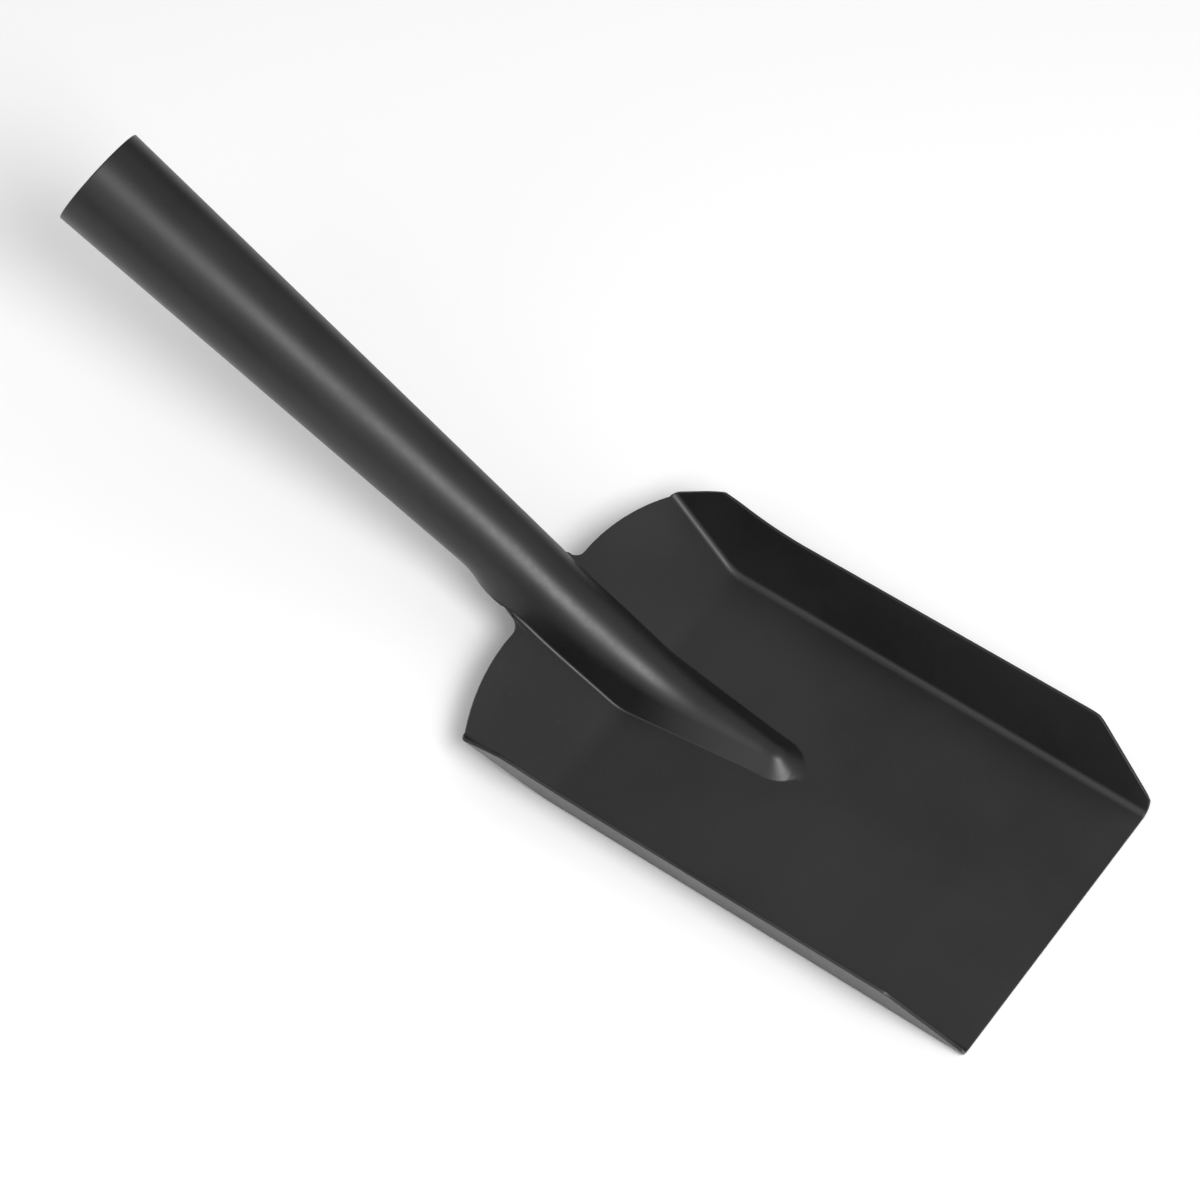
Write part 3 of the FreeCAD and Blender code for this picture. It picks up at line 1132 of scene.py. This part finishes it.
@dataclass(frozen=True)
class PaintedWeld(Finish):
    """The same paint over a weld bead: thicker in the hollows, glossier on the ripples.

    Scales are features to the metre.
    """

    tone: float = 0.0052
    gloss: float = 0.38
    line_scale: tuple[float, float, float] = (900.0, 260.0, 900.0)
    spatter_scale: float = 700.0
    cloud_scale: float = 160.0
    line_depth: float = 0.05 * MM

    def surface(self, bench: NodeBench) -> dict[str, Any]:
        """Paint over weld metal, with its fine solidification lines and spatter.

        Args:
            bench: adds the nodes.

        Returns:
            Values and sockets for the surface shader.
        """
        lines = bench.noise(1.0, bench.stretched(self.line_scale), detail=2.0)
        spatter = bench.noise(self.spatter_scale, detail=1.0).band(0.62, 0.72)
        cloud = bench.noise(self.cloud_scale, detail=2.0)
        shade = bench.blend(cloud.band(0.3, 0.7), grey(self.tone * 0.85), grey(self.tone * 1.25, 0.015))
        roughness = self.gloss + 0.12 * (cloud - 0.5) + 0.10 * spatter
        normal = bench.bump(lines + 0.6 * spatter, self.line_depth)
        return {"Base Color": shade, "Roughness": roughness, "Normal": normal, "IOR": 1.5}


@dataclass(frozen=True)
class PaleBoard(Finish):
    """Matt white board that the shovel lies on, with the faintest mottle."""

    tone: float = 0.85
    mottle: float = 0.005
    mottle_scale: float = 3.0

    def surface(self, bench: NodeBench) -> dict[str, Any]:
        """Nearly even white.

        Args:
            bench: adds the nodes.

        Returns:
            Values and sockets for the surface shader.
        """
        low, high = grey(self.tone * (1 - self.mottle)), grey(self.tone * (1 + self.mottle))
        shade = bench.blend(bench.noise(self.mottle_scale), low, high)
        return {"Base Color": shade, "Roughness": 0.9, "Specular IOR Level": 0.1}


# ------------------------------------------------------------------ the shovel
@dataclass
class SheetBody:
    """The pressed pan with its rib and neck, and the rolled handle: one sheet, in two pieces."""

    sizes: ShovelSizes
    rib: RibSizes
    ease: BlendSizes
    mouth_x: float

    def build(self) -> list[bpy.types.Object]:
        """Make both pieces, dress them and hand them to the frame.

        Returns:
            The pan and the handle.
        """
        shape = SheetShape(self.sizes, self.rib, self.ease, self.mouth_x)
        formed = FormedSheet(shape)
        neck = (shape.neck_x, 0.0, self.sizes.neck_height)
        coat = PowderCoat("black_powder_coat", neck).material()
        pieces = []
        for name, region in (("pressed_pan", Region.PAN), ("rolled_handle", Region.HANDLE)):
            piece = formed.piece(name, region)
            piece.data.materials.append(coat)
            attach(piece, ROOT)
            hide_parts(region.value)
            pieces.append(piece)
        return pieces


@dataclass
class SeamWelds:
    """Short runs of weld that hold the handle's seam closed, made of overlapping ripples.

    A ripple's scale along the seam, across it and outwards is drawn between `ripple_low` and
    `ripple_high`, as shares of the bead's radius.
    """

    sizes: ShovelSizes
    neck_x: float
    count: int = 3
    run_length: float = 12.0 * MM
    margin: float = 16.0 * MM
    bead_radius: float = 1.3 * MM
    ripples: int = 17
    ripple_low: tuple[float, float, float] = (0.62, 0.90, 0.72)
    ripple_high: tuple[float, float, float] = (0.74, 1.0, 0.86)
    ripple_fineness: int = 3
    seed: int = 7

    def tree(self, finish: bpy.types.Material) -> bpy.types.NodeTree:
        """Node tree that lays ripples along each run, and runs along the seam.

        Args:
            finish: material of the beads.

        Returns:
            The tree, with its sizes as named inputs.
        """
        tree = bpy.data.node_groups.new("seam_weld_runs", "GeometryNodeTree")
        face = tree.interface
        for label, kind in (("Runs", "NodeSocketInt"), ("Ripples", "NodeSocketInt"),
                            ("First Run", "NodeSocketVector"), ("Run Spacing", "NodeSocketVector"),
                            ("Ripple Step", "NodeSocketVector"), ("Bead Radius", "NodeSocketFloat"),
                            ("Pitch", "NodeSocketFloat"), ("Seed", "NodeSocketInt")):
            face.new_socket(label, in_out="INPUT", socket_type=kind)
        face.new_socket("Geometry", in_out="OUTPUT", socket_type="NodeSocketGeometry")
        bench = NodeBench(tree)
        given = bench.add("NodeGroupInput").outputs
        ball = bench.add("GeometryNodeMeshIcoSphere", None,
                         {"Radius": given["Bead Radius"], "Subdivisions": self.ripple_fineness})
        line = bench.add("GeometryNodeMeshLine", {"mode": "OFFSET"},
                         {"Count": given["Ripples"], "Offset": given["Ripple Step"]})
        size = bench.add("FunctionNodeRandomValue", {"data_type": "FLOAT_VECTOR"},
                         {0: self.ripple_low, 1: self.ripple_high, "Seed": given["Seed"]})
        turn = bench.add("ShaderNodeCombineXYZ", None, {1: given["Pitch"]})
        run = bench.add("GeometryNodeInstanceOnPoints", None,
                        {"Points": line.outputs[0], "Instance": ball.outputs[0],
                         "Rotation": turn.outputs[0], "Scale": size.outputs[0]})
        whole_run = bench.add("GeometryNodeRealizeInstances", None, {0: run.outputs[0]})
        places = bench.add("GeometryNodeMeshLine", {"mode": "OFFSET"},
                           {"Count": given["Runs"], "Start Location": given["First Run"],
                            "Offset": given["Run Spacing"]})
        runs = bench.add("GeometryNodeInstanceOnPoints", None,
                         {"Points": places.outputs[0], "Instance": whole_run.outputs[0]})
        solid = bench.add("GeometryNodeRealizeInstances", None, {0: runs.outputs[0]})
        smooth = bench.add("GeometryNodeSetShadeSmooth", None, {0: solid.outputs[0]})
        dressed = bench.add("GeometryNodeSetMaterial", None,
                            {"Geometry": smooth.outputs[0], "Material": finish})
        bench.add("NodeGroupOutput", None, {0: dressed.outputs[0]})
        return tree

    def inputs(self) -> dict[str, Any]:
        """Work out where the runs lie on the underside of the handle.

        Returns:
            A value for each named input of the tree.
        """
        size, pitch = self.sizes, self.sizes.handle_pitch
        along = Vector((-math.cos(pitch), 0.0, math.sin(pitch)))
        down = Vector((-math.sin(pitch), 0.0, -math.cos(pitch)))
        neck = Vector((self.neck_x, 0.0, size.neck_height))
        first = self.margin + self.run_length / 2
        spacing = (size.handle_length - 2 * first) / (self.count - 1)
        taper = (size.handle_end_radius - size.neck_radius) / size.handle_length
        line = along + down * taper
        start = neck + down * size.neck_radius + line * (first - self.run_length / 2)
        return {"Runs": self.count, "Ripples": self.ripples, "First Run": start,
                "Run Spacing": line * spacing, "Ripple Step": line * self.run_length / (self.ripples - 1),
                "Bead Radius": self.bead_radius, "Pitch": pitch, "Seed": self.seed}

    def build(self) -> bpy.types.Object:
        """Make the runs as one piece and hand it to the frame.

        Returns:
            The piece, as a plain mesh.
        """
        tree = self.tree(PaintedWeld("painted_weld_bead").material())
        values = self.inputs()
        host = bpy.data.objects.new("weld_host", bpy.data.meshes.new("weld_host"))
        bpy.context.scene.collection.objects.link(host)
        maker = host.modifiers.new("weld runs", "NODES")
        maker.node_group = tree
        for item in tree.interface.items_tree:
            if item.in_out == "INPUT":
                maker[item.identifier] = values[item.name]
        host.data.update()
        graph = bpy.context.evaluated_depsgraph_get()
        mesh = bpy.data.meshes.new_from_object(host.evaluated_get(graph))
        host.modifiers.remove(maker)
        bpy.data.objects.remove(host)
        mesh.name = "seam_weld_runs"
        piece = bpy.data.objects.new("seam_weld_runs", mesh)
        bpy.context.scene.collection.objects.link(piece)
        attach(piece, ROOT)
        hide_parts("seam_tack_welds")
        return piece


# ------------------------------------------------------------------ studio
class LampShape(Enum):
    """Outline of a softbox, by the name that the lamp takes for it."""

    SQUARE = "SQUARE"
    OBLONG = "RECTANGLE"


@dataclass(frozen=True)
class Softbox:
    """A large soft lamp that points at the middle of the frame."""

    name: str
    place: tuple[float, float, float]
    width: float
    height: float
    power: float
    shape: LampShape

    def build(self) -> None:
        """Add the lamp."""
        lamp = bpy.data.lights.new(self.name, "AREA")
        lamp.shape = self.shape.value
        lamp.size, lamp.size_y = self.width, self.height
        lamp.energy = self.power
        holder = bpy.data.objects.new(self.name, lamp)
        turn = Vector(self.place).to_track_quat("Z", "Y").to_matrix().to_4x4()
        holder.matrix_world = Matrix.Translation(self.place) @ turn
        bpy.context.scene.collection.objects.link(holder)


@dataclass(frozen=True)
class Viewpoint:
    """Camera that looks down at the shovel from beside its mouth."""

    target: tuple[float, float, float]
    yaw: float = math.radians(31.265)
    elevation: float = math.radians(55.08)
    roll: float = math.radians(4.32)
    distance: float = 1592.5 * MM
    shift_right: float = 13.74 * MM
    shift_up: float = -27.57 * MM
    lens: float = 144.38
    sensor: float = 36.0

    def build(self) -> Vector:
        """Add the camera and make it the scene's.

        Returns:
            The camera's place.
        """
        level = math.cos(self.elevation)
        back = Vector((math.sin(self.yaw) * level, -math.cos(self.yaw) * level, math.sin(self.elevation)))
        right = (-back).cross(Vector((0.0, 0.0, 1.0))).normalized()
        up = right.cross(-back)
        turned_right = right * math.cos(self.roll) + up * math.sin(self.roll)
        turned_up = up * math.cos(self.roll) - right * math.sin(self.roll)
        place = Vector(self.target) + back * self.distance
        place -= turned_right * self.shift_right + turned_up * self.shift_up
        camera = bpy.data.cameras.new("camera")
        camera.lens = self.lens
        camera.sensor_width = self.sensor
        holder = bpy.data.objects.new("camera", camera)
        turn = Matrix((turned_right, turned_up, back)).transposed().to_4x4()
        holder.matrix_world = Matrix.Translation(place) @ turn
        bpy.context.scene.collection.objects.link(holder)
        bpy.context.scene.camera = holder
        return place


@dataclass
class Studio:
    """Pale floor, a pale sky that dims on the shovel's left, and two soft lamps.

    The sky is dimmed by `left_shade` towards `shade_toward`, and to `horizon` of its strength at the
    horizon.
    """

    floor_half: float = 6.0
    sky: float = 0.68
    horizon: float = 0.55
    horizon_band: float = 0.4
    left_shade: float = 0.7
    shade_toward: tuple[float, float, float] = (-0.3, 0.9, -0.3)
    shade_band: tuple[float, float] = (0.42, 0.80)
    key_from_eye: tuple[float, float, float] = (0.35, 0.30, -0.08)
    key_width: float = 0.62
    key_power: float = 19.0
    fill_place: tuple[float, float, float] = (-0.51, -1.08, 0.95)
    fill_size: tuple[float, float] = (0.9, 0.8)
    fill_power: float = 2.4

    def floor(self) -> bpy.types.Object:
        """Flat board under the shovel.

        Returns:
            The board.
        """
        half = self.floor_half
        mesh = bpy.data.meshes.new("studio_floor")
        corners = [(-half, -half, 0.0), (half, -half, 0.0), (half, half, 0.0), (-half, half, 0.0)]
        mesh.from_pydata(corners, [], [(0, 1, 2, 3)])
        board = bpy.data.objects.new("studio_floor", mesh)
        board.data.materials.append(PaleBoard("pale_board").material())
        bpy.context.scene.collection.objects.link(board)
        return board

    def air(self) -> None:
        """Pale light from all round, weaker from the shovel's left and from near the horizon."""
        world = bpy.data.worlds.new("studio_air")
        bpy.context.scene.world = world
        world.use_nodes = True
        world.node_tree.nodes.clear()
        bench = NodeBench(world.node_tree)
        along, across, up = bench.axes()
        toward_x, toward_y, toward_z = self.shade_toward
        leftward = across * toward_y + along * toward_x + up * toward_z
        shade = 1.0 - leftward.band(*self.shade_band) * self.left_shade
        rise = self.horizon + (1 - self.horizon) * up.band(0.0, self.horizon_band)
        light = {"Color": grey(1.0), "Strength": shade * rise * self.sky}
        glow = bench.add("ShaderNodeBackground", None, light)
        bench.add("ShaderNodeOutputWorld", None, {"Surface": glow.outputs[0]})
        bpy.context.scene.view_settings.view_transform = "Standard"

    def softboxes(self, eye: Vector) -> Sequence[Softbox]:
        """The lamps: a key beside the camera, and a fill on the shovel's right behind its crease.

        Args:
            eye: the camera's place.

        Returns:
            The key and the fill.
        """
        key = tuple(eye + Vector(self.key_from_eye))
        return (Softbox("key", key, self.key_width, self.key_width, self.key_power, LampShape.SQUARE),
                Softbox("fill", self.fill_place, *self.fill_size, self.fill_power, LampShape.OBLONG))

    def build(self, eye: Vector) -> None:
        """Add everything.

        Args:
            eye: the camera's place.
        """
        self.floor()
        self.air()
        for box in self.softboxes(eye):
            box.build()


def log_piece(piece: bpy.types.Object) -> None:
    """Report one finished piece."""
    LOG.info("%s: %d faces", piece.name, len(piece.data.polygons))


def main() -> None:
    """Build the camera, the shovel and the studio, in that order."""
    logging.basicConfig(level=logging.INFO, format="%(message)s")
    sizes = ShovelSizes()
    mouth_x = float(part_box("pan")[1][0])
    crease_x = mouth_x - sizes.floor_length
    eye = Viewpoint((crease_x, 0.0, sizes.sheet / 2)).build()
    for piece in SheetBody(sizes, RibSizes(), BlendSizes(), mouth_x).build():
        log_piece(piece)
    log_piece(SeamWelds(sizes, crease_x - sizes.neck_from_crease).build())
    Studio().build(eye)


if __name__ == "__main__":
    main()
